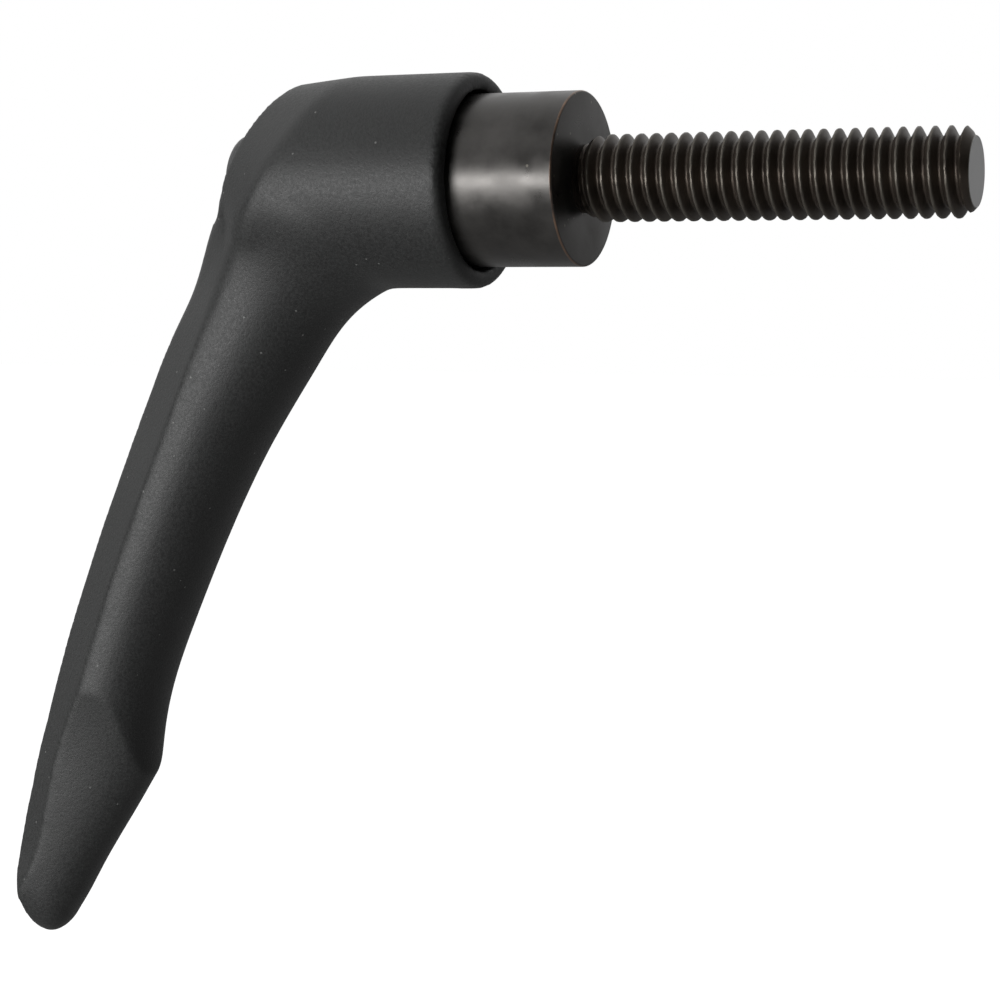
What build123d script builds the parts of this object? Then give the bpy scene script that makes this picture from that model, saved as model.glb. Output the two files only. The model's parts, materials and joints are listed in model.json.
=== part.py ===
"""Adjustable clamping lever with a 5/16-18 stud.

The origin is the centre of the collar's end face, which bears on the work.
+X runs out along the stud, and the lever arm hangs down, leaning back from the hub.
"""
import os
from math import cos, radians, sin

from build123d import *

# ---------------------------------------------------------------- driving sizes, mm
# Threaded stud, 5/16 inch, 18 threads to the inch
stud_diameter = 7.938
stud_length = 36.0          # from the collar's face to the tip
stud_neck_length = 0.5      # thread run-out next to the collar
stud_neck_diameter = 6.2
stud_tip_diameter = 6.1
stud_socket_depth = 12.0    # how far the stud is sunk in the insert

# Steel insert: plain collar in front, serration behind
collar_diameter = 16.0
collar_reach = 10.1         # how far the collar stands out of the hub
collar_edge_break = 0.25
insert_body_length = 17.5
serration_length = 4.0
tooth_count = 24
tooth_root_radius = 6.85
tooth_tip_radius = 7.75
tooth_root_width = 1.25
tooth_tip_width = 0.55
socket_floor = 2.0          # steel left between the stud and the screw

# Lever hub
hub_diameter = 20.0
hub_rim_rounding = 0.7
web_thickness = 2.0         # wall that the spring bears on
face_lean = 31.0            # degrees between the back face and a square-cut end
face_distance = 34.4        # where the back face crosses the stud axis
bevel_depth = 5.1           # bevel round the back face, square to it
bevel_run = 4.0             # and across it, on the arm
roof_run = 3.2              # and across it, on the hub

# Lever arm, measured along a centre line that crosses the stud axis
arm_lean = 22.0             # degrees from square to the stud
arm_axis_distance = 27.0
arm_length = 83.2
arm_width = 13.4            # across the bevels, just below the hub
arm_depth = 14.8            # from back to belly, just below the hub

# Retaining screw, M5 shank with a low round head
screw_shank_diameter = 5.0
screw_head_diameter = 9.6
screw_head_height = 3.0
screw_head_rounding = 0.6
screw_key_width = 3.0       # across the flats of the hexagon socket
screw_key_depth = 1.6

# Return spring
spring_wire = 0.8
spring_coil_diameter = 7.6  # to the middle of the wire
spring_turns = 3.75
spring_room = 8.6           # from the web to the screw head

# Clearances
bore_play = 0.35            # collar in the hub's mouth, all round
tooth_play = 0.12           # between the two serrations
seat_play = 0.1             # insert to web, along the axis
tooth_lead = 0.4            # collar shoulder to the hub's teeth
bond_play = 0.03            # stud in its socket, filled by the bond
shank_play = 0.2            # screw in the web
head_play = 0.4             # screw head in its pocket
thread_play = 0.03          # screw in the insert
spring_play = 0.1           # spring to its two seats

# ---------------------------------------------------------------- worked out from them
hub_radius = hub_diameter / 2
insert_length = insert_body_length + serration_length
web_front = -(insert_length + seat_play)
web_back = web_front - web_thickness
head_seat = web_back - spring_room
head_top = head_seat - screw_head_height
screw_tip = -(stud_socket_depth + socket_floor)
bore_radius = collar_diameter / 2 + bore_play
pocket_radius = screw_head_diameter / 2 + head_play
far = 3 * hub_diameter      # longer than anything that it cuts

# The back face leans, and the bevel ends on a plane parallel to it
face_normal = Vector(-cos(radians(face_lean)), 0, sin(radians(face_lean)))
ridge_distance = face_distance - bevel_depth / cos(radians(face_lean))
ridge_plane = Plane(origin=(-ridge_distance, 0, 0), x_dir=(0, 1, 0), z_dir=face_normal)
roof_plane = ridge_plane.offset(bevel_depth)

# The arm's centre line runs down from the stud axis, "back" is square to it
arm_down = Vector(-sin(radians(arm_lean)), 0, -cos(radians(arm_lean)))
arm_root = Plane(origin=(-arm_axis_distance, 0, 0), x_dir=(0, -1, 0), z_dir=arm_down)


def serration(plane, play):
    """Toothed disc drawn on a plane; play grows it into the matching socket."""
    with BuildSketch(plane) as toothed:
        Circle(tooth_root_radius + play)
        with PolarLocations(0, tooth_count):
            Polygon(
                (tooth_root_radius - 1, -tooth_root_width / 2 - play),
                (tooth_root_radius + play, -tooth_root_width / 2 - play),
                (tooth_tip_radius + play, -tooth_tip_width / 2 - play),
                (tooth_tip_radius + play, tooth_tip_width / 2 + play),
                (tooth_root_radius + play, tooth_root_width / 2 + play),
                (tooth_root_radius - 1, tooth_root_width / 2 + play),
                align=None,
            )
    return toothed.sketch


def arm_station(share):
    """Plane square to the arm's centre line, at a share of the arm's length."""
    return arm_root.offset(share * arm_length)


# ---------------------------------------------------------------- threaded stud
with BuildPart() as threaded_stud:
    with BuildSketch(Plane.YZ.offset(-stud_socket_depth)):
        Circle(stud_diameter / 2)
    extrude(amount=stud_socket_depth)
    with BuildSketch(Plane.YZ):
        Circle(stud_neck_diameter / 2)
    extrude(amount=stud_neck_length)
    with BuildSketch(Plane.YZ.offset(stud_neck_length)):
        Circle(stud_diameter / 2)
    extrude(amount=stud_length - stud_neck_length)
    tip_edge = threaded_stud.edges().filter_by(GeomType.CIRCLE).sort_by(Axis.X)[-1]
    chamfer(tip_edge, length=(stud_diameter - stud_tip_diameter) / 2)

threaded_stud.part.label = "threaded_stud"

# ---------------------------------------------------------------- serrated insert
with BuildPart() as serrated_insert:
    with BuildSketch(Plane.YZ.offset(-insert_body_length)):
        Circle(collar_diameter / 2)
    extrude(amount=insert_body_length)
    front_edge = serrated_insert.edges().filter_by(GeomType.CIRCLE).sort_by(Axis.X)[-1]
    chamfer(front_edge, length=collar_edge_break)
    extrude(serration(Plane.YZ.offset(-insert_length), 0), amount=serration_length)
    with BuildSketch(Plane.YZ.offset(-stud_socket_depth)):
        Circle(stud_diameter / 2 + bond_play)
    extrude(amount=stud_socket_depth, mode=Mode.SUBTRACT)
    with BuildSketch(Plane.YZ.offset(-insert_length)):
        Circle(screw_shank_diameter / 2 + thread_play)
    extrude(amount=insert_length + screw_tip, mode=Mode.SUBTRACT)

serrated_insert.part.label = "serrated_insert"

# ---------------------------------------------------------------- retaining screw
with BuildPart() as retaining_screw:
    with BuildSketch(Plane.YZ.offset(head_top)):
        Circle(screw_head_diameter / 2)
    extrude(amount=screw_head_height)
    rim = retaining_screw.edges().filter_by(GeomType.CIRCLE).sort_by(Axis.X)[0]
    fillet(rim, radius=screw_head_rounding)
    with BuildSketch(Plane.YZ.offset(head_seat)):
        Circle(screw_shank_diameter / 2)
    extrude(amount=screw_tip - head_seat - seat_play)
    with BuildSketch(Plane.YZ.offset(head_top)):
        RegularPolygon(screw_key_width / 2, 6, major_radius=False)
    extrude(amount=screw_key_depth, mode=Mode.SUBTRACT)

retaining_screw.part.label = "retaining_screw"

# ---------------------------------------------------------------- return spring
coil_length = spring_room - spring_wire - 2 * spring_play
with BuildPart() as return_spring:
    with BuildLine():
        coil = Helix(coil_length / spring_turns, coil_length, spring_coil_diameter / 2,
                     center=(head_seat + spring_play + spring_wire / 2, 0, 0),
                     direction=(1, 0, 0))
    with BuildSketch(coil ^ 0):
        RegularPolygon(spring_wire / 2, 8)  # out of sight, so a plain section will do
    sweep(path=coil, is_frenet=True)

return_spring.part.label = "return_spring"

# ---------------------------------------------------------------- lever arm
# Each station: share of the arm's length, then the back and the belly in arm depths and
# the half width across the ridges in arm widths.
arm_stations = [
    (0.000, 0.440, -0.840, 0.715),
    (0.070, 0.515, -0.735, 0.620),
    (0.140, 0.565, -0.450, 0.508),
    (0.200, 0.592, -0.355, 0.496),
    (0.310, 0.624, -0.225, 0.476),
    (0.440, 0.652, -0.145, 0.452),
    (0.560, 0.660, -0.120, 0.428),
    (0.660, 0.644, -0.140, 0.412),
    (0.725, 0.618, -0.225, 0.404),
    (0.800, 0.563, -0.400, 0.396),
    (0.900, 0.487, -0.640, 0.385),
    (1.060, 0.335, -1.050, 0.370),
]


def arm_section(share, back, belly, half_width):
    """Flat back, two bevels, and a belly that turns smoothly from ridge to ridge."""
    top = back * arm_depth
    bottom = belly * arm_depth
    ridge = half_width * arm_width
    shoulder = top - bevel_depth
    flat = ridge - bevel_run
    fall = shoulder - bottom
    with BuildSketch(arm_station(share)) as section:
        with BuildLine():
            Line((-flat, top), (flat, top))
            Line((flat, top), (ridge, shoulder))
            Bezier((ridge, shoulder), (1.06 * ridge, shoulder - 0.62 * fall),
                   (0.66 * ridge, bottom), (0, bottom))
            Bezier((0, bottom), (-0.66 * ridge, bottom),
                   (-1.06 * ridge, shoulder - 0.62 * fall), (-ridge, shoulder))
            Line((-ridge, shoulder), (-flat, top))
        make_face()
    return section.sketch


with BuildPart() as arm_bar:
    for station in arm_stations:
        add(arm_section(*station))
    loft()

# The grip end: a round-bellied form that narrows to the tip and cuts the bar off short of
# its heel.  Same station layout, but the sides stand square up to the top.
grip_stations = [
    (0.600, 1.000, -0.470, 0.560),
    (0.700, 0.900, -0.315, 0.400),
    (0.780, 0.800, -0.225, 0.335),
    (0.860, 0.620, -0.135, 0.300),
    (0.925, 0.465, -0.075, 0.272),
    (0.960, 0.365, -0.035, 0.232),
    (0.985, 0.275, 0.030, 0.160),
    (0.999, 0.190, 0.130, 0.050),
]


def grip_section(share, back, belly, half_width):
    """Flat top with a belly that hangs from its two sides in one smooth curve."""
    top = back * arm_depth
    bottom = belly * arm_depth
    side = half_width * arm_width
    fall = top - bottom
    with BuildSketch(arm_station(share)) as section:
        with BuildLine():
            Line((-side, top), (side, top))
            Bezier((side, top), (side, top - 0.75 * fall), (0.72 * side, bottom), (0, bottom))
            Bezier((0, bottom), (-0.72 * side, bottom), (-side, top - 0.75 * fall), (-side, top))
        make_face()
    return section.sketch


with BuildPart() as grip_end:
    for station in grip_stations:
        add(grip_section(*station))
    loft()

# The grip end shapes only the lower half of the bar; above it the bar is whole
with BuildPart() as arm_upper:
    add(arm_bar.part)
    split(bisect_by=arm_station(grip_stations[0][0]), keep=Keep.BOTTOM)

with BuildPart() as arm_lower:
    add(arm_bar.part)
    split(bisect_by=arm_station(grip_stations[0][0]), keep=Keep.TOP)
    add(grip_end.part, mode=Mode.INTERSECT)

# ---------------------------------------------------------------- lever handle
with BuildPart() as lever_handle:
    # Hub, cut off along the ridge plane, with the bevelled roof on the cut
    with BuildSketch(Plane.YZ.offset(-far)):
        Circle(hub_radius)
    extrude(amount=far - collar_reach)
    mouth_edge = lever_handle.edges().filter_by(GeomType.CIRCLE).sort_by(Axis.X)[-1]
    fillet(mouth_edge, radius=hub_rim_rounding)
    split(bisect_by=ridge_plane, keep=Keep.BOTTOM)
    with BuildSketch(ridge_plane):
        Ellipse(hub_radius, hub_radius / cos(radians(face_lean)))
    with BuildSketch(roof_plane):
        Ellipse(hub_radius - roof_run, (hub_radius - roof_run) / cos(radians(face_lean)))
    loft(ruled=True)
    # Arm
    add(arm_upper.part)
    add(arm_lower.part)
    # Bore for the collar, toothed socket, hole for the screw and pocket for the spring
    with BuildSketch(Plane.YZ.offset(-(insert_body_length + tooth_lead))):
        Circle(bore_radius)
    extrude(amount=far, mode=Mode.SUBTRACT)
    socket = serration(Plane.YZ.offset(web_front), tooth_play)
    extrude(socket, amount=serration_length, mode=Mode.SUBTRACT)
    with BuildSketch(Plane.YZ.offset(-far)):
        Circle(screw_shank_diameter / 2 + shank_play)
    extrude(amount=far, mode=Mode.SUBTRACT)
    with BuildSketch(Plane.YZ.offset(-far)):
        Circle(pocket_radius)
    extrude(amount=far + web_back, mode=Mode.SUBTRACT)

lever_handle.part.label = "lever_handle"

# ---------------------------------------------------------------- write the pieces
os.makedirs("parts", exist_ok=True)
for piece in (threaded_stud, serrated_insert, retaining_screw, return_spring, lever_handle):
    export_step(piece.part, f"parts/{piece.part.label}.step")
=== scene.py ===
"""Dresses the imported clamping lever: coated lever, black steel collar, thread, screw, spring."""

import json
import logging
import math
from dataclasses import dataclass, field
from enum import Enum
from typing import Optional, Sequence

import bmesh
import bpy
import numpy as np
from mathutils import Matrix, Vector

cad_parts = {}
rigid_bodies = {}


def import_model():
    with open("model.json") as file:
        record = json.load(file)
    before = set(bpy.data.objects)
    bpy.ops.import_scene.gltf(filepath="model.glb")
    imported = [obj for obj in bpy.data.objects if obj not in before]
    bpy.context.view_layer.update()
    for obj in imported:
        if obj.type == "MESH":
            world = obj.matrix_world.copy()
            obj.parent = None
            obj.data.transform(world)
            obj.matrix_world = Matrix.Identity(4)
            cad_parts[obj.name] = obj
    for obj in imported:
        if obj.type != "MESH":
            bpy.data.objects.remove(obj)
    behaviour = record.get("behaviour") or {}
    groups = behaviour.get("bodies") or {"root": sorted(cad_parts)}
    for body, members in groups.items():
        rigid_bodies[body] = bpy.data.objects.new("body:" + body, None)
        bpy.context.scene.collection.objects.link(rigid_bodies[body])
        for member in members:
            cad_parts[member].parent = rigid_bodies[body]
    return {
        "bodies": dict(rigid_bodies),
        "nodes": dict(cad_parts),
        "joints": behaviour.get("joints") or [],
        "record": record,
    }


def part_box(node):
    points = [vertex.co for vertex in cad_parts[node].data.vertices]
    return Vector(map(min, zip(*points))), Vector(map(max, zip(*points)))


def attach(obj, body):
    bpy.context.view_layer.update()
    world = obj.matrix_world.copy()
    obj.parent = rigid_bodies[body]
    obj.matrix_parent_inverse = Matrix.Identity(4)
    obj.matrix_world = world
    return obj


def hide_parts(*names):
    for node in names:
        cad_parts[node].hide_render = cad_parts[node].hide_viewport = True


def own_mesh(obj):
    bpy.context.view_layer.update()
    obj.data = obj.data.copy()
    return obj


LOG = logging.getLogger("clamping_lever")
MM = 0.001
TURN = 2 * math.pi
HALF_WAY = 0.5


class Body(Enum):
    """Bodies of the frame that pieces ride on."""

    INSERT = "insert"
    SPRING = "spring"
    HANDLE = "handle"


class Slot(Enum):
    """Material slots of the record."""

    LEVER = "lever_coating"
    COLLAR = "collar_steel"
    STUD = "stud_steel"
    SCREW = "screw_steel"
    SPRING = "spring_steel"


# ---------------------------------------------------------------- node and mesh helpers
class Nodes:
    """Short way to place and wire the nodes of one tree."""

    def __init__(self, tree: bpy.types.NodeTree) -> None:
        """Keeps the tree.

        Args:
            tree: a shader or geometry node tree.
        """
        self.tree = tree

    def add(self, kind: str, inputs: Optional[dict] = None, **settings) -> bpy.types.Node:
        """Adds one node.

        Args:
            kind: the node's type name.
            inputs: socket name or index to a value, or to a socket to link from.
            **settings: properties of the node itself.

        Returns:
            The new node.
        """
        node = self.tree.nodes.new(kind)
        for name, value in settings.items():
            setattr(node, name, value)
        for key, value in (inputs or {}).items():
            if isinstance(value, bpy.types.NodeSocket):
                self.tree.links.new(value, node.inputs[key])
            else:
                node.inputs[key].default_value = value
        return node

    def math(self, operation: str, *values, clamp: bool = False) -> bpy.types.NodeSocket:
        """Adds one Math node and returns its result.

        Args:
            operation: the Math node's operation.
            *values: its inputs, numbers or sockets.
            clamp: whether the result is held between 0 and 1.

        Returns:
            The node's output socket.
        """
        node = self.add("ShaderNodeMath", dict(enumerate(values)), operation=operation,
                        use_clamp=clamp)
        return node.outputs[0]

    def ramp(self, factor: bpy.types.NodeSocket, stops: Sequence) -> bpy.types.NodeSocket:
        """Adds a colour ramp.

        Args:
            factor: socket that drives the ramp.
            stops: pairs of position and grey level or (r, g, b).

        Returns:
            The ramp's colour socket.
        """
        node = self.add("ShaderNodeValToRGB", {0: factor})
        band = node.color_ramp
        while len(band.elements) < len(stops):
            band.elements.new(0.5)
        for element, (position, colour) in zip(band.elements, stops):
            element.position = position
            level = colour if isinstance(colour, tuple) else (colour,) * 3
            element.color = (*level, 1.0)
        return node.outputs[0]

    def blend(self, factor, first, second, mode: str = "MIX") -> bpy.types.NodeSocket:
        """Mixes two colours.

        Args:
            factor: number or socket, 0 gives the first colour.
            first: colour or socket.
            second: colour or socket.
            mode: blend mode.

        Returns:
            The mixed colour socket.
        """
        node = self.add("ShaderNodeMix", data_type="RGBA", blend_type=mode)
        for index, value in ((0, factor), (6, first), (7, second)):
            if isinstance(value, bpy.types.NodeSocket):
                self.tree.links.new(value, node.inputs[index])
            else:
                node.inputs[index].default_value = value
        return node.outputs[2]

    def reach(self, split: bpy.types.Node) -> bpy.types.NodeSocket:
        """Distance from the stud's axis.

        Args:
            split: a Separate XYZ node of the object's coordinates.

        Returns:
            The distance in metres.
        """
        return self.math("SQRT", self.math(
            "ADD", self.math("MULTIPLY", split.outputs[1], split.outputs[1]),
            self.math("MULTIPLY", split.outputs[2], split.outputs[2])))

    def specks(self, place, dust: "Dust", body) -> bpy.types.NodeSocket:
        """Scatters small round specks over a colour.

        Args:
            place: socket of the object's coordinates.
            dust: how many, how large and how bright.
            body: socket of the colour below.

        Returns:
            The colour with its specks.
        """
        cells = self.add("ShaderNodeTexVoronoi", {"Vector": place, "Scale": dust.scale})
        chosen = self.add("ShaderNodeSeparateColor", {0: cells.outputs["Color"]}).outputs[0]
        speck = self.math("MULTIPLY",
                          self.math("LESS_THAN", cells.outputs["Distance"], dust.size),
                          self.math("GREATER_THAN", chosen, dust.left_out))
        return self.blend(self.math("MULTIPLY", speck, dust.strength), body, dust.colour)

    def dress(self, shader: bpy.types.Node, body, rough, bump: bpy.types.Node) -> None:
        """Connects a finish's patterns to its shader.

        Args:
            shader: the Principled shader.
            body: socket of the base colour.
            rough: socket of the roughness.
            bump: the Bump node.
        """
        self.tree.links.new(body, shader.inputs["Base Color"])
        self.tree.links.new(rough, shader.inputs["Roughness"])
        self.tree.links.new(bump.outputs[0], shader.inputs["Normal"])


@dataclass(frozen=True)
class Dust:
    """Specks on a surface: cells per metre, size and share left out as parts of one."""

    scale: float
    size: float
    left_out: float
    strength: float
    colour: tuple


def new_material(name: str) -> tuple:
    """Makes an empty node material.

    Args:
        name: the material's name.

    Returns:
        The material, its node helper and its Principled shader.
    """
    material = bpy.data.materials.new(name)
    material.use_nodes = True
    material.node_tree.nodes.clear()
    nodes = Nodes(material.node_tree)
    shader = nodes.add("ShaderNodeBsdfPrincipled")
    nodes.add("ShaderNodeOutputMaterial", {"Surface": shader.outputs[0]})
    return material, nodes, shader


def link_object(name: str, mesh: bpy.types.Mesh) -> bpy.types.Object:
    """Puts a mesh in the scene as an object at the origin.

    Args:
        name: the object's name.
        mesh: its mesh.

    Returns:
        The new object.
    """
    piece = bpy.data.objects.new(name, mesh)
    bpy.context.scene.collection.objects.link(piece)
    return piece


def shade_smooth(mesh: bpy.types.Mesh, crease: float) -> None:
    """Shades a mesh smooth, with sharp edges where it turns by more than an angle.

    Args:
        mesh: the mesh to shade.
        crease: the angle in degrees.
    """
    work = bmesh.new()
    work.from_mesh(mesh)
    for face in work.faces:
        face.smooth = True
    for edge in work.edges:
        edge.smooth = len(edge.link_faces) == 2 and edge.calc_face_angle(0) < math.radians(crease)
    work.to_mesh(mesh)
    work.free()


def turned_solid(name: str, rings: Sequence[tuple], around: int) -> bpy.types.Mesh:
    """Builds a closed solid about the stud's axis from rings of points.

    Args:
        name: the mesh's name.
        rings: pairs of x and radius in millimetres, from one pole to the other. A radius can
            be a function of the angle.
        around: points in each ring.

    Returns:
        The finished mesh, normals outwards.
    """
    work = bmesh.new()
    loops = []
    for x, radius in rings:
        loop = []
        for step in range(around):
            angle = TURN * step / around
            reach = radius(angle) if callable(radius) else radius
            loop.append(work.verts.new((x * MM, -reach * math.sin(angle) * MM,
                                        reach * math.cos(angle) * MM)))
        loops.append(loop)
    for first, second in zip(loops, loops[1:]):
        for step in range(around):
            after = (step + 1) % around
            work.faces.new((first[step], first[after], second[after], second[step]))
    for loop, x in ((loops[0], rings[0][0]), (loops[-1], rings[-1][0])):
        pole = work.verts.new((x * MM, 0, 0))
        for step in range(around):
            work.faces.new((loop[step], loop[(step + 1) % around], pole))
    bmesh.ops.recalc_face_normals(work, faces=work.faces)
    mesh = bpy.data.meshes.new(name)
    work.to_mesh(mesh)
    work.free()
    return mesh


def rounded_corner(x: float, radius: float, size: float, side: int, steps: int = 6) -> list:
    """Rings that round off one outer corner of a turned solid.

    Args:
        x: where the sharp corner would be, in millimetres.
        radius: its distance from the axis.
        size: radius of the rounding.
        side: +1 where the solid lies towards +X of the corner, -1 where it lies towards -X.
        steps: rings in the rounding.

    Returns:
        The rings in order of rising x.
    """
    rings = []
    for step in range(steps + 1):
        angle = math.pi / 2 * step / steps
        rings.append((x + side * size * (1 - math.cos(angle)),
                      radius - size * (1 - math.sin(angle))))
    return rings if side > 0 else rings[::-1]


def from_tree(name: str, tree: bpy.types.NodeTree, values: dict) -> bpy.types.Mesh:
    """Runs a geometry tree and returns its result as a plain mesh.

    Args:
        name: the mesh's name.
        tree: the geometry node tree.
        values: input name to value.

    Returns:
        The mesh, with no modifier left behind.
    """
    holder = link_object(name + "_maker", bpy.data.meshes.new(name + "_seed"))
    modifier = holder.modifiers.new("maker", "NODES")
    modifier.node_group = tree
    for item in tree.interface.items_tree:
        if item.item_type == "SOCKET" and item.in_out == "INPUT" and item.name in values:
            modifier[item.identifier] = values[item.name]
    bpy.context.view_layer.update()
    evaluated = holder.evaluated_get(bpy.context.evaluated_depsgraph_get())
    mesh = bpy.data.meshes.new_from_object(evaluated)
    mesh.name = name
    holder.modifiers.remove(modifier)
    bpy.data.objects.remove(holder)
    return mesh


def geometry_tree(name: str, inputs: Sequence[tuple]) -> tuple:
    """Starts a geometry tree with named inputs.

    Args:
        name: the tree's name.
        inputs: triples of input name, socket type and default.

    Returns:
        The tree, its node helper and the group input node.
    """
    tree = bpy.data.node_groups.new(name, "GeometryNodeTree")
    tree.interface.new_socket("Geometry", in_out="OUTPUT", socket_type="NodeSocketGeometry")
    for title, kind, default in inputs:
        socket = tree.interface.new_socket(title, in_out="INPUT", socket_type=kind)
        if default is not None:
            socket.default_value = default
    nodes = Nodes(tree)
    return tree, nodes, nodes.add("NodeGroupInput")


def finish_tree(nodes: Nodes, geometry: bpy.types.NodeSocket,
                material: bpy.types.NodeSocket) -> None:
    """Ends a geometry tree with real meshes in one material.

    Args:
        nodes: the tree's node helper.
        geometry: socket of the shape.
        material: socket of the material.
    """
    real = nodes.add("GeometryNodeRealizeInstances", {0: geometry})
    dressed = nodes.add("GeometryNodeSetMaterial", {0: real.outputs[0], "Material": material})
    nodes.add("NodeGroupOutput", {0: dressed.outputs[0]})


# ---------------------------------------------------------------- finishes
@dataclass(frozen=True)
class GrainedCoating:
    """Matt black coating over a die-casting, with a fine grain and a few specks of dust."""

    colour: tuple = (0.0150, 0.0156, 0.0153)
    roughness: float = 0.5
    specular: float = 0.44
    grain_scale: float = 3600.0
    grain_height: float = 0.00005
    fine_ratio: float = 2.7
    fine_share: float = 0.4
    broad_scale: float = 90.0
    bump_strength: float = 0.55
    dust: Dust = Dust(850.0, 0.09, 0.72, 0.3, (0.34, 0.34, 0.33, 1))

    def material(self) -> bpy.types.Material:
        """Builds the coating.

        Returns:
            The material.
        """
        material, nodes, shader = new_material("grained_coating")
        place = nodes.add("ShaderNodeTexCoord").outputs["Object"]
        broad = nodes.add("ShaderNodeTexNoise", {"Vector": place, "Scale": self.broad_scale,
                                                 "Detail": 3.0})
        grain = nodes.add("ShaderNodeTexNoise", {"Vector": place, "Scale": self.grain_scale,
                                                 "Detail": 2.0, "Roughness": 0.55})
        fine = nodes.add("ShaderNodeTexNoise", {
            "Vector": place, "Scale": self.grain_scale * self.fine_ratio, "Detail": 1.0})
        tone = nodes.ramp(broad.outputs["Fac"], ((0.3, 0.86), (0.7, 1.12)))
        body = nodes.blend(1.0, (*self.colour, 1), tone, "MULTIPLY")
        mottle = nodes.ramp(grain.outputs["Fac"], ((0.33, 0.62), (0.68, 1.42)))
        body = nodes.blend(1.0, body, mottle, "MULTIPLY")
        body = nodes.specks(place, self.dust, body)
        rough = nodes.ramp(grain.outputs["Fac"], ((0.25, self.roughness - 0.07),
                                                  (0.75, self.roughness + 0.1)))
        relief = nodes.math("ADD", grain.outputs["Fac"],
                            nodes.math("MULTIPLY", fine.outputs["Fac"], self.fine_share))
        bump = nodes.add("ShaderNodeBump", {"Strength": self.bump_strength,
                                            "Distance": self.grain_height, "Height": relief})
        nodes.dress(shader, body, rough, bump)
        shader.inputs["Specular IOR Level"].default_value = self.specular
        return material


@dataclass(frozen=True)
class TurnedOxide:
    """Black oxide on turned steel: satin, with fine tool lines and edges rubbed towards brown."""

    colour: tuple = (0.070, 0.067, 0.064)
    roughness: float = 0.34
    metallic: float = 0.9
    line_scale: float = 5200.0
    line_height: float = 0.000012
    cloud_scale: float = 260.0
    rubbed_from: float = 0.00788
    rubbed_back: float = 0.00022
    rubbed_width: float = 0.00006
    rubbed_strength: float = 0.75
    rubbed_colour: tuple = (0.30, 0.19, 0.13, 1)
    dust: Dust = Dust(900.0, 0.11, 0.86, 0.45, (0.30, 0.28, 0.24, 1))
    name: str = "turned_oxide"

    def material(self) -> bpy.types.Material:
        """Builds the oxide.

        Returns:
            The material.
        """
        material, nodes, shader = new_material(self.name)
        place = nodes.add("ShaderNodeTexCoord").outputs["Object"]
        split = nodes.add("ShaderNodeSeparateXYZ", {0: place})
        reach = nodes.reach(split)
        lathe = nodes.add("ShaderNodeCombineXYZ", {0: split.outputs[0], 1: reach, 2: 0.0})
        lines = nodes.add("ShaderNodeTexNoise", {"Vector": lathe.outputs[0],
                                                 "Scale": self.line_scale, "Detail": 2.0})
        cloud = nodes.add("ShaderNodeTexNoise", {"Vector": place, "Scale": self.cloud_scale,
                                                 "Detail": 5.0, "Roughness": 0.6})
        tone = nodes.ramp(cloud.outputs["Fac"], ((0.28, 0.72), (0.72, 1.25)))
        body = nodes.blend(1.0, (*self.colour, 1), tone, "MULTIPLY")
        past = nodes.math("DIVIDE", nodes.math("SUBTRACT", reach, self.rubbed_from),
                          self.rubbed_width, clamp=True)
        front = nodes.math("DIVIDE", nodes.math("ADD", split.outputs[0], self.rubbed_back),
                           self.rubbed_width, clamp=True)
        patchy = nodes.ramp(cloud.outputs["Fac"], ((0.38, 0.15), (0.62, 1.0)))
        worn = nodes.math("MULTIPLY", nodes.math("MULTIPLY", past, front), patchy)
        body = nodes.blend(nodes.math("MULTIPLY", worn, self.rubbed_strength), body,
                           self.rubbed_colour)
        body = nodes.specks(place, self.dust, body)
        rough = nodes.ramp(cloud.outputs["Fac"], ((0.3, self.roughness - 0.08),
                                                  (0.7, self.roughness + 0.12)))
        bump = nodes.add("ShaderNodeBump", {"Strength": 0.3, "Distance": self.line_height,
                                            "Height": lines.outputs["Fac"]})
        nodes.dress(shader, body, rough, bump)
        shader.inputs["Metallic"].default_value = self.metallic
        return material


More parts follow.
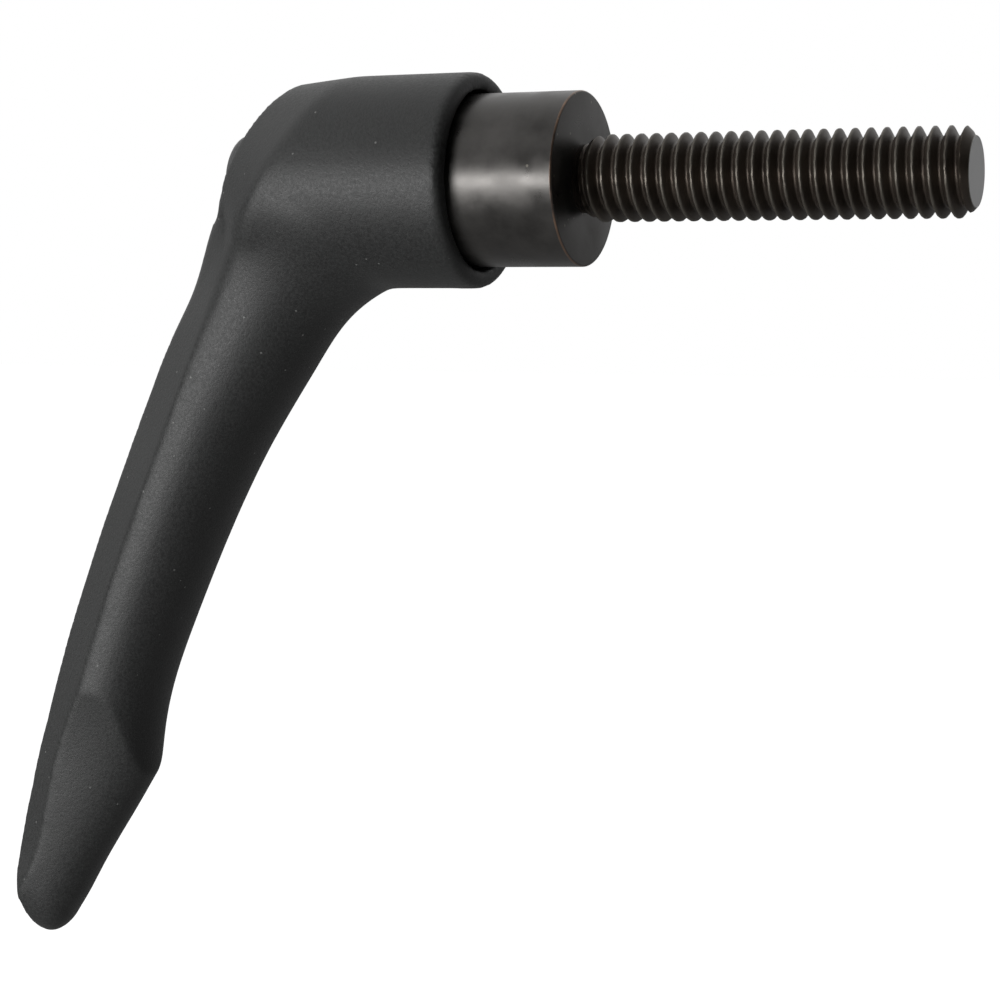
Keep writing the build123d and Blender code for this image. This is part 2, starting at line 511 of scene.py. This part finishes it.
@dataclass(frozen=True)
class RolledOxide:
    """Brown-black oxide on a rolled thread, with a painted highlight on its crests, and rubbed
    brighter on its sawn end.
    """

    colour: tuple = (0.055, 0.044, 0.035)
    # painted highlight: this lighter colour on the thread's crests stands in for light caught
    # there
    crest_highlight_colour: tuple = (0.11, 0.10, 0.085)
    end_colour: tuple = (0.24, 0.235, 0.22)
    roughness: float = 0.42
    metallic: float = 0.75
    cloud_scale: float = 420.0
    cloud_height: float = 0.00003
    crest_highlight_from: float = 0.00378
    crest_highlight_rise: float = 0.00014
    end_from: float = 0.03595

    def material(self) -> bpy.types.Material:
        """Builds the thread's oxide.

        Returns:
            The material.
        """
        material, nodes, shader = new_material("rolled_oxide")
        place = nodes.add("ShaderNodeTexCoord").outputs["Object"]
        split = nodes.add("ShaderNodeSeparateXYZ", {0: place})
        reach = nodes.reach(split)
        cloud = nodes.add("ShaderNodeTexNoise", {"Vector": place, "Scale": self.cloud_scale,
                                                 "Detail": 4.0})
        tone = nodes.ramp(cloud.outputs["Fac"], ((0.25, 0.65), (0.75, 1.35)))
        body = nodes.blend(1.0, (*self.colour, 1), tone, "MULTIPLY")
        # painted highlight on the crests: the colour turns lighter where the thread reaches
        # furthest from the axis
        crest_highlight = nodes.math("DIVIDE", nodes.math("SUBTRACT", reach, self.crest_highlight_from),
                           self.crest_highlight_rise, clamp=True)
        crest_highlight = nodes.math("MULTIPLY", crest_highlight, nodes.ramp(cloud.outputs["Fac"],
                                                         ((0.3, 0.35), (0.6, 0.9))))
        body = nodes.blend(crest_highlight, body, (*self.crest_highlight_colour, 1))
        end = nodes.math("GREATER_THAN", split.outputs[0], self.end_from)
        body = nodes.blend(end, body, (*self.end_colour, 1))
        rough = nodes.ramp(cloud.outputs["Fac"], ((0.2, self.roughness - 0.08),
                                                  (0.8, self.roughness + 0.14)))
        bump = nodes.add("ShaderNodeBump", {"Strength": 0.35, "Distance": self.cloud_height,
                                            "Height": cloud.outputs["Fac"]})
        nodes.dress(shader, body, rough, bump)
        shader.inputs["Metallic"].default_value = self.metallic
        return material


@dataclass(frozen=True)
class DrawnWire:
    """Plain spring wire."""

    colour: tuple = (0.36, 0.35, 0.34)
    roughness: float = 0.3

    def material(self) -> bpy.types.Material:
        """Builds the wire's bare steel.

        Returns:
            The material.
        """
        material, nodes, shader = new_material("drawn_wire")
        place = nodes.add("ShaderNodeTexCoord").outputs["Object"]
        cloud = nodes.add("ShaderNodeTexNoise", {"Vector": place, "Scale": 900.0})
        tone = nodes.ramp(cloud.outputs["Fac"], ((0.3, 0.8), (0.7, 1.15)))
        body = nodes.blend(1.0, (*self.colour, 1), tone, "MULTIPLY")
        nodes.tree.links.new(body, shader.inputs["Base Color"])
        shader.inputs["Metallic"].default_value = 1.0
        shader.inputs["Roughness"].default_value = self.roughness
        return material


# ---------------------------------------------------------------- lever
@dataclass
class CoatedLever:
    """The die-cast lever, with the soft edges that casting and coating leave.

    Places and sizes are in millimetres. The line and the trim of the back are pairs of the
    depth below the stud's axis and a place or a shift along it.
    """

    node: str = "lever_handle"
    voxel: float = 0.32
    soft_passes: int = 3
    joint_passes: int = 30
    joint_reach: float = 10.5
    joint_size: float = 3.2
    joint_front: float = -12.5
    roof_passes: int = 8
    roof_size: float = 1.8
    roof_from: float = 8.0
    heel_passes: int = 30
    heel_place: tuple = (-35.5, -2.5)
    heel_size: float = 3.4
    heel_from: float = 4.6
    back_margin: float = 4.5
    back_fade: float = 3.5
    back_line: tuple = ((0.0, -34.3), (10.0, -40.2), (46.2, -56.0), (60.0, -59.9),
                        (68.0, -62.2), (77.0, -60.0))
    back_trim: tuple = ((0.0, 0.0), (1.1, -0.2), (2.0, -0.42), (3.0, -0.5), (4.0, -0.34),
                        (5.0, -0.24), (6.0, -0.1), (7.0, 0.0), (8.5, 0.14), (10.7, 0.28),
                        (18.0, 0.0), (54.0, 0.0), (58.7, -0.28), (61.4, -0.43),
                        (62.8, -0.56), (64.0, -0.58), (65.3, -0.5), (66.5, -0.34),
                        (68.0, 0.0), (70.5, 0.0), (72.2, 0.4), (74.7, 0.6), (77.0, 0.6))
    ridge_place: float = -28.45
    ridge_lean: float = 31.0
    bore_reach: float = 8.9
    bore_end: float = -34.5
    bore_hold: float = 0.2
    finish: GrainedCoating = field(default_factory=GrainedCoating)

    def remeshed(self, source: bpy.types.Object) -> bpy.types.Mesh:
        """Returns the casting's solid as one even skin.

        Args:
            source: the frame's node.

        Returns:
            A closed mesh of small squares.
        """
        mesh = source.data.copy()
        work = bmesh.new()
        work.from_mesh(mesh)
        bmesh.ops.remove_doubles(work, verts=work.verts, dist=1e-7)
        work.to_mesh(mesh)
        work.free()
        holder = link_object("lever_maker", mesh)
        skin = holder.modifiers.new("skin", "REMESH")
        skin.mode = "VOXEL"
        skin.voxel_size = self.voxel * MM
        bpy.context.view_layer.update()
        evaluated = holder.evaluated_get(bpy.context.evaluated_depsgraph_get())
        result = bpy.data.meshes.new_from_object(evaluated)
        holder.modifiers.remove(skin)
        bpy.data.objects.remove(holder)
        return result

    def trim_back(self, points: np.ndarray, inside: np.ndarray) -> None:
        """Straightens the back of the arm and rounds its end, by tenths of a millimetre.

        Args:
            points: the skin's points, changed in place.
            inside: marks the points in the bore, which stay.
        """
        drop = -points[:, 2] / MM
        line = np.interp(drop, *zip(*self.back_line))
        behind = np.clip((line + self.back_margin - points[:, 0] / MM) / self.back_fade, 0, 1)
        shift = np.interp(drop, *zip(*self.back_trim)) * behind * MM
        points[:, 0] += np.where(inside, 0.0, shift)

    def easing(self, points: np.ndarray, inside: np.ndarray) -> list:
        """Says how much each point gives way in each pass.

        Args:
            points: the skin's points.
            inside: marks the points in the bore.

        Returns:
            One column of weights for each pass.
        """
        x, z = points[:, 0] / MM, points[:, 2] / MM
        reach = np.hypot(points[:, 1], points[:, 2]) / MM
        every = np.where(inside, self.bore_hold, 1.0)
        below = np.clip((-z - 1.0) / 4.0, 0, 1)
        joint = np.exp(-((reach - self.joint_reach) / self.joint_size) ** 2) * below
        joint = np.where(inside | (x > self.joint_front), 0.0, joint)
        lean = math.radians(self.ridge_lean)
        off = (x - self.ridge_place) * math.cos(lean) - z * math.sin(lean)
        roof = np.exp(-(off / self.roof_size) ** 2) * np.clip(z / 3.0 + 1.0, 0, 1)
        roof = np.where(inside | (reach < self.roof_from), 0.0, roof)
        heel = np.hypot(x - self.heel_place[0], z - self.heel_place[1])
        heel = np.exp(-(heel / self.heel_size) ** 2)
        heel = np.where(inside | (reach < self.heel_from), 0.0, heel)
        passes = []
        for weight, times in ((every, self.soft_passes), (joint, self.joint_passes),
                              (roof, self.roof_passes), (heel, self.heel_passes)):
            passes += [weight[:, None] * HALF_WAY] * times
        return passes

    def softened(self, mesh: bpy.types.Mesh) -> None:
        """Eases the skin's edges, least in the bore and most where the arm leaves the hub.

        Args:
            mesh: the skin, changed in place.
        """
        count = len(mesh.vertices)
        points = np.empty(count * 3)
        mesh.vertices.foreach_get("co", points)
        points = points.reshape(-1, 3)
        ends = np.empty(len(mesh.edges) * 2, dtype=np.int64)
        mesh.edges.foreach_get("vertices", ends)
        ends = ends.reshape(-1, 2)
        first, second = ends[:, 0], ends[:, 1]
        degree = np.bincount(ends.ravel(), minlength=count)[:, None]
        reach = np.hypot(points[:, 1], points[:, 2])
        inside = (reach < self.bore_reach * MM) & (points[:, 0] > self.bore_end * MM)
        passes = self.easing(points, inside)
        self.trim_back(points, inside)
        for weight in passes:
            total = np.zeros_like(points)
            for axis in range(3):
                total[:, axis] = (np.bincount(first, points[second, axis], count)
                                  + np.bincount(second, points[first, axis], count))
            points += weight * (total / degree - points)
        mesh.vertices.foreach_set("co", points.ravel())

    def build(self, frame: dict) -> bpy.types.Object:
        """Makes, dresses and places the lever.


        Returns:
            The finished piece.
        """
        mesh = self.remeshed(frame["nodes"][self.node])
        self.softened(mesh)
        mesh.name = "lever_casting"
        mesh.materials.clear()
        mesh.materials.append(self.finish.material())
        mesh.polygons.foreach_set("use_smooth", [True] * len(mesh.polygons))
        piece = link_object("lever_casting", mesh)
        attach(piece, Body.HANDLE.value)
        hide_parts(self.node)
        return piece


# ---------------------------------------------------------------- insert
@dataclass
class SteelInsert:
    """The turned collar with the toothed disc behind it. Sizes are in millimetres."""

    node: str = "serrated_insert"
    radius: float = 8.0
    body_length: float = 17.5
    teeth: int = 24
    teeth_length: float = 4.0
    root_radius: float = 6.85
    tip_radius: float = 7.75
    edge: float = 0.2
    bore_radius: float = 2.6
    seat_radius: float = 4.0
    tooth_half: float = 0.62
    flank_run: float = 0.34
    around: int = 288
    finish: TurnedOxide = field(default_factory=TurnedOxide)

    def tooth_reach(self, angle: float) -> float:
        """Radius of the toothed disc at an angle.

        Args:
            angle: turn from +Z towards -Y.

        Returns:
            The radius in millimetres.
        """
        pitch = TURN / self.teeth
        offset = abs((angle + math.pi / 2 + pitch / 2) % pitch - pitch / 2) * self.root_radius
        flank = min(max((self.tooth_half - offset) / self.flank_run, 0.0), 1.0)
        return self.root_radius + (self.tip_radius - self.root_radius) * flank

    def build(self, frame: dict) -> bpy.types.Object:
        """Makes, dresses and places the insert.


        Returns:
            The finished piece.
        """
        back = -(self.body_length + self.teeth_length)
        rings = [(back, self.bore_radius), (back, self.tooth_reach),
                 (-self.body_length, self.tooth_reach)]
        rings += rounded_corner(-self.body_length, self.radius, self.edge, 1)
        rings += rounded_corner(0.0, self.radius, self.edge, -1)
        rings += [(0.0, self.seat_radius)]
        mesh = turned_solid("steel_insert", rings, self.around)
        shade_smooth(mesh, 28.0)
        mesh.materials.append(self.finish.material())
        piece = link_object("steel_insert", mesh)
        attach(piece, Body.INSERT.value)
        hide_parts(self.node)
        return piece


# ---------------------------------------------------------------- stud
@dataclass
class ThreadedStud:
    """Stud with a real helical thread, right-handed. Sizes are in millimetres."""

    node: str = "threaded_stud"
    length: float = 36.0
    sunk: float = 12.0
    shoulder_depth: float = 0.4
    outer_radius: float = 3.969
    root_radius: float = 3.1
    pitch: float = 25.4 / 18
    start: float = 0.3
    first_crest: float = 4.18
    crest_flat: float = 0.09
    root_blend: float = 0.12
    flank_slope: float = 1.732
    lead_slope: float = 0.6
    tip_radius: float = 3.05
    around: int = 96
    along: int = 480
    finish: RolledOxide = field(default_factory=RolledOxide)

    def tree(self) -> bpy.types.NodeTree:
        """Builds the tree that winds the thread's surface.

        Returns:
            The geometry node tree.
        """
        tree, nodes, given = geometry_tree("wound_thread", (
            ("Start", "NodeSocketFloat", 0.0), ("Length", "NodeSocketFloat", 36.0),
            ("Outer", "NodeSocketFloat", 4.0), ("Root", "NodeSocketFloat", 3.1),
            ("Tip", "NodeSocketFloat", 3.0), ("Pitch", "NodeSocketFloat", 1.4),
            ("First", "NodeSocketFloat", 0.0), ("Flat", "NodeSocketFloat", 0.1),
            ("Slope", "NodeSocketFloat", 1.7), ("Lead", "NodeSocketFloat", 0.6),
            ("Around", "NodeSocketInt", 96), ("Along", "NodeSocketInt", 400),
            ("Blend", "NodeSocketFloat", 0.1), ("Finish", "NodeSocketMaterial", None)))
        size = given.outputs
        grid = nodes.add("GeometryNodeMeshGrid", {"Size X": 1.0, "Size Y": 1.0,
                                                  "Vertices X": size["Along"],
                                                  "Vertices Y": size["Around"]})
        place = nodes.add("ShaderNodeSeparateXYZ", {0: nodes.add("GeometryNodeInputPosition")
                                                    .outputs[0]})
        run = nodes.math("SUBTRACT", size["Length"], size["Start"])
        x = nodes.math("ADD", size["Start"], nodes.math(
            "MULTIPLY", nodes.math("ADD", place.outputs[0], 0.5), run))
        angle = nodes.math("MULTIPLY", nodes.math("ADD", place.outputs[1], 0.5), TURN)
        turns = nodes.math("SUBTRACT", nodes.math(
            "DIVIDE", nodes.math("SUBTRACT", x, size["First"]), size["Pitch"]),
            nodes.math("DIVIDE", angle, TURN))
        offset = nodes.math("MULTIPLY", nodes.math("PINGPONG", turns, 0.5), size["Pitch"])
        fall = nodes.math("MULTIPLY", nodes.math("MAXIMUM", nodes.math(
            "SUBTRACT", offset, size["Flat"]), 0.0), size["Slope"])
        reach = nodes.math("SMOOTH_MAX", nodes.math("SUBTRACT", size["Outer"], fall),
                           size["Root"], size["Blend"])
        lead_out = nodes.math("ADD", size["Tip"], nodes.math("SUBTRACT", size["Length"], x))
        lead_in = nodes.math("ADD", size["Root"], nodes.math("MULTIPLY", nodes.math(
            "SUBTRACT", x, size["Start"]), size["Lead"]))
        reach = nodes.math("MINIMUM", reach, nodes.math("MINIMUM", lead_out, lead_in))
        wound = nodes.add("ShaderNodeCombineXYZ", {
            0: x, 1: nodes.math("MULTIPLY", nodes.math("MULTIPLY", reach, -1.0),
                                nodes.math("SINE", angle)),
            2: nodes.math("MULTIPLY", reach, nodes.math("COSINE", angle))})
        metres = nodes.add("ShaderNodeVectorMath", {0: wound.outputs[0], "Scale": MM},
                           operation="SCALE")
        surface = nodes.add("GeometryNodeSetPosition", {0: grid.outputs[0],
                                                        "Position": metres.outputs[0]})
        closed = nodes.add("GeometryNodeMergeByDistance", {0: surface.outputs[0],
                                                           "Distance": 1e-6})
        finish_tree(nodes, closed.outputs[0], size["Finish"])
        return tree

    def ended(self, mesh: bpy.types.Mesh) -> None:
        """Closes the thread's two open ends, and adds the shank that is sunk in the insert.

        Args:
            mesh: the wound surface, changed in place.
        """
        work = bmesh.new()
        work.from_mesh(mesh)
        rim = [edge for edge in work.edges if edge.is_boundary]
        middle = self.length / 2 * MM
        near = [edge for edge in rim if edge.verts[0].co.x < middle]
        far = [edge for edge in rim if edge.verts[0].co.x > middle]
        bmesh.ops.edgeloop_fill(work, edges=far)
        for x, reach in ((-self.shoulder_depth, self.root_radius),
                         (-self.shoulder_depth, self.outer_radius),
                         (-self.sunk, self.outer_radius)):
            made = bmesh.ops.extrude_edge_only(work, edges=near)["geom"]
            for vert in (item for item in made if isinstance(item, bmesh.types.BMVert)):
                side = Vector((0, vert.co.y, vert.co.z)).normalized() * reach * MM
                vert.co = Vector((x * MM, side.y, side.z))
            near = [item for item in made if isinstance(item, bmesh.types.BMEdge)
                    and item.is_boundary]
        bmesh.ops.edgeloop_fill(work, edges=near)
        bmesh.ops.recalc_face_normals(work, faces=work.faces)
        work.to_mesh(mesh)
        work.free()

    def build(self, frame: dict) -> bpy.types.Object:
        """Makes, dresses and places the stud.


        Returns:
            The finished piece.
        """
        mesh = from_tree("stud_thread", self.tree(), {
            "Start": self.start, "Length": self.length, "Outer": self.outer_radius,
            "Root": self.root_radius, "Tip": self.tip_radius, "Pitch": self.pitch,
            "First": self.first_crest, "Flat": self.crest_flat, "Slope": self.flank_slope,
            "Lead": self.lead_slope, "Around": self.around + 1, "Along": self.along,
            "Blend": self.root_blend, "Finish": self.finish.material()})
        self.ended(mesh)
        shade_smooth(mesh, 40.0)
        piece = link_object("stud_thread", mesh)
        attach(piece, Body.INSERT.value)
        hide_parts(self.node)
        return piece


# ---------------------------------------------------------------- screw
@dataclass
class RetainingScrew:
    """Low round-headed screw with a hexagon socket. Sizes are in millimetres."""

    node: str = "retaining_screw"
    head_radius: float = 4.8
    head_height: float = 3.0
    crown: float = 0.7
    shank_radius: float = 2.5
    key: float = 3.0
    key_depth: float = 1.6
    key_floor: float = 0.3
    key_bevel: float = 0.1
    key_bevel_depth: float = 0.08
    around: int = 144
    finish: TurnedOxide = field(default_factory=lambda: TurnedOxide(
        colour=(0.085, 0.085, 0.086), roughness=0.42, rubbed_from=0.02, name="screw_oxide"))

    def key_reach(self, angle: float) -> float:
        """Distance from the axis to the socket's wall.

        Args:
            angle: turn about the axis.

        Returns:
            The distance in millimetres.
        """
        third = math.pi / 3
        return self.key / 2 / math.cos(angle % third - third / 2)

    def build(self, frame: dict) -> bpy.types.Object:
        """Makes, dresses and places the screw.


        Returns:
            The finished piece.
        """
        low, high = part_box(self.node)
        top, tip = low.x / MM, high.x / MM
        floor = top + self.key_depth
        rings = [(floor, lambda angle: self.key_floor * self.key_reach(angle)),
                 (floor, self.key_reach), (top + self.key_bevel_depth, self.key_reach),
                 (top, lambda angle: self.key_reach(angle) + self.key_bevel)]
        rings += rounded_corner(top, self.head_radius, self.crown, 1, 8)
        rings += [(top + self.head_height, self.head_radius),
                  (top + self.head_height, self.shank_radius), (tip, self.shank_radius)]
        mesh = turned_solid("back_screw", rings, self.around)
        shade_smooth(mesh, 32.0)
        mesh.materials.append(self.finish.material())
        piece = link_object("back_screw", mesh)
        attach(piece, Body.INSERT.value)
        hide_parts(self.node)
        return piece


# ---------------------------------------------------------------- spring
@dataclass
class ReturnSpring:
    """Coil spring between the screw head and the hub's web. Sizes are in millimetres."""

    node: str = "return_spring"
    wire: float = 0.8
    coil: float = 7.6
    turns: float = 3.75
    lift_joint: str = "handle_lift"
    keep: float = 0.5
    inset: float = 0.98
    finish: DrawnWire = field(default_factory=DrawnWire)

    def tree(self) -> bpy.types.NodeTree:
        """Builds the tree that sweeps the wire along its coil.

        Returns:
            The geometry node tree.
        """
        tree, nodes, given = geometry_tree("coiled_wire", (
            ("Turns", "NodeSocketFloat", 4.0), ("Coil radius", "NodeSocketFloat", 0.004),
            ("Height", "NodeSocketFloat", 0.008), ("Wire radius", "NodeSocketFloat", 0.0004),
            ("Base", "NodeSocketVector", None), ("Finish", "NodeSocketMaterial", None)))
        size = given.outputs
        helix = nodes.add("GeometryNodeCurveSpiral", {
            "Resolution": 48, "Rotations": size["Turns"], "Start Radius": size["Coil radius"],
            "End Radius": size["Coil radius"], "Height": size["Height"]})
        section = nodes.add("GeometryNodeCurvePrimitiveCircle", {"Resolution": 16,
                                                                 "Radius": size["Wire radius"]})
        swept = nodes.add("GeometryNodeCurveToMesh", {0: helix.outputs[0],
                                                      1: section.outputs[0],
                                                      "Fill Caps": True})
        laid = nodes.add("GeometryNodeTransform", {0: swept.outputs[0],
                                                   "Translation": size["Base"],
                                                   "Rotation": (0.0, math.pi / 2, 0.0)})
        finish_tree(nodes, laid.outputs[0], size["Finish"])
        return tree

    def build(self, frame: dict) -> bpy.types.Object:
        """Makes, dresses and places the spring.


        Returns:
            The finished piece.
        """
        low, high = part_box(self.node)
        half = self.wire / 2 * MM
        mesh = from_tree("coil_spring", self.tree(), {
            "Turns": self.turns, "Coil radius": self.coil / 2 * MM,
            "Height": high.x - low.x - 2 * half, "Wire radius": half * self.inset,
            "Base": (low.x + half, 0.0, 0.0), "Finish": self.finish.material()})
        work = bmesh.new()
        work.from_mesh(mesh)
        bmesh.ops.recalc_face_normals(work, faces=work.faces)
        work.to_mesh(mesh)
        work.free()
        shade_smooth(mesh, 40.0)
        piece = link_object("coil_spring", mesh)
        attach(piece, Body.SPRING.value)
        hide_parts(self.node)
        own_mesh(piece)
        return piece


# ---------------------------------------------------------------- studio
@dataclass(frozen=True)
class SoftBox:
    """One area light. Sizes and places are in metres."""

    name: str
    place: tuple
    aim: tuple
    width: float
    height: float
    watts: float

    def build(self) -> None:
        """Hangs the light and turns it to its aim."""
        light = bpy.data.lights.new(self.name, "AREA")
        light.shape = "RECTANGLE"
        light.size = self.width
        light.size_y = self.height
        light.energy = self.watts
        holder = bpy.data.objects.new(self.name, light)
        holder.location = self.place
        aim = Vector(self.aim) - Vector(self.place)
        holder.rotation_euler = aim.to_track_quat("-Z", "Y").to_euler()
        bpy.context.scene.collection.objects.link(holder)


@dataclass
class Studio:
    """Camera, lamps, floor and surrounding white."""

    camera_place: tuple = (0.082454, -0.206207, -0.010014)
    right: tuple = (0.91506, 0.40332, 0.00122)
    up: tuple = (-0.03626, 0.07926, 0.99619)
    forward: tuple = (-0.40169, 0.91162, -0.08716)
    lens: float = 86.87
    sensor: float = 36.0
    near_clip: float = 0.01
    floor_height: float = -0.17
    floor_reach: float = 4.0
    floor_colour: tuple = (0.4, 0.4, 0.4, 1)
    floor_glow: float = 0.84
    bright_side: tuple = (-0.36, 0.64, 0.68)
    bright_from: float = 0.30
    bright_width: float = 1.15
    bright_power: float = 2.4
    dim_level: float = 0.004
    lamps: tuple = (
        SoftBox("front_strip", (-0.27, -0.64, -0.035), (0.0, 0.0, 0.0), 0.40, 0.14, 3.1),
        SoftBox("high_box", (-0.50, -0.36, 0.44), (0.0, 0.0, 0.0), 0.90, 0.60, 1.5),
        SoftBox("low_box", (-0.30, -0.34, -0.12), (-0.055, 0.0, -0.065), 0.16, 0.10, 0.34),
    )

    def place_camera(self) -> None:
        """Creates the camera and makes it the scene's own."""
        data = bpy.data.cameras.new("camera")
        data.lens = self.lens
        data.sensor_width = self.sensor
        data.clip_start = self.near_clip
        camera = bpy.data.objects.new("camera", data)
        turn = Matrix((self.right, self.up, tuple(-part for part in self.forward))).transposed()
        camera.matrix_world = Matrix.Translation(self.camera_place) @ turn.to_4x4()
        bpy.context.scene.collection.objects.link(camera)
        bpy.context.scene.camera = camera

    def surround(self) -> None:
        """Makes the world: white behind the object and to the camera, dimmer in front."""
        world = bpy.data.worlds.new("surround")
        bpy.context.scene.world = world
        world.use_nodes = True
        world.node_tree.nodes.clear()
        nodes = Nodes(world.node_tree)
        way = nodes.add("ShaderNodeTexCoord").outputs["Generated"]
        facing = nodes.add("ShaderNodeVectorMath", {0: way, 1: self.bright_side},
                           operation="DOT_PRODUCT").outputs["Value"]
        share = nodes.math("POWER", nodes.math(
            "DIVIDE", nodes.math("ADD", facing, self.bright_from), self.bright_width,
            clamp=True), self.bright_power)
        level = nodes.math("ADD", self.dim_level, nodes.math("MULTIPLY", share,
                                                             1.0 - self.dim_level))
        seen = nodes.add("ShaderNodeLightPath").outputs["Is Camera Ray"]
        level = nodes.math("MAXIMUM", level, seen)
        back = nodes.add("ShaderNodeBackground", {"Color": (1, 1, 1, 1), "Strength": level})
        nodes.add("ShaderNodeOutputWorld", {"Surface": back.outputs[0]})

    def lay_floor(self) -> None:
        """Lays the pale floor that keeps the object's shadow."""
        material = bpy.data.materials.new("pale_floor")
        material.use_nodes = True
        material.node_tree.nodes.clear()
        nodes = Nodes(material.node_tree)
        paint = nodes.add("ShaderNodeBsdfDiffuse", {"Color": self.floor_colour})
        seen = nodes.add("ShaderNodeLightPath").outputs["Is Camera Ray"]
        glow = nodes.math("MULTIPLY", seen, self.floor_glow)
        lift = nodes.add("ShaderNodeEmission", {"Color": (1, 1, 1, 1), "Strength": glow})
        both = nodes.add("ShaderNodeAddShader", {0: paint.outputs[0], 1: lift.outputs[0]})
        nodes.add("ShaderNodeOutputMaterial", {"Surface": both.outputs[0]})
        work = bmesh.new()
        corners = [work.verts.new((x * self.floor_reach, y * self.floor_reach,
                                   self.floor_height))
                   for x, y in ((-1, -1), (1, -1), (1, 1), (-1, 1))]
        work.faces.new(corners)
        mesh = bpy.data.meshes.new("floor")
        work.to_mesh(mesh)
        work.free()
        mesh.materials.append(material)
        link_object("floor", mesh)

    def build(self) -> None:
        """Sets up camera, world, floor and lamps."""
        self.place_camera()
        self.surround()
        self.lay_floor()
        for lamp in self.lamps:
            lamp.build()
        bpy.context.scene.view_settings.view_transform = "Standard"


def main(frame: dict) -> None:
    """Builds the studio and the object, in order.
    """
    logging.basicConfig(level=logging.INFO, format="%(name)s: %(message)s")
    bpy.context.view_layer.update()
    Studio().build()
    for maker in (CoatedLever(), SteelInsert(), ThreadedStud(), RetainingScrew(), ReturnSpring()):
        piece = maker.build(frame)
        LOG.info("%s: %d faces", piece.name, len(piece.data.polygons))


if __name__ == "__main__":
    main(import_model())
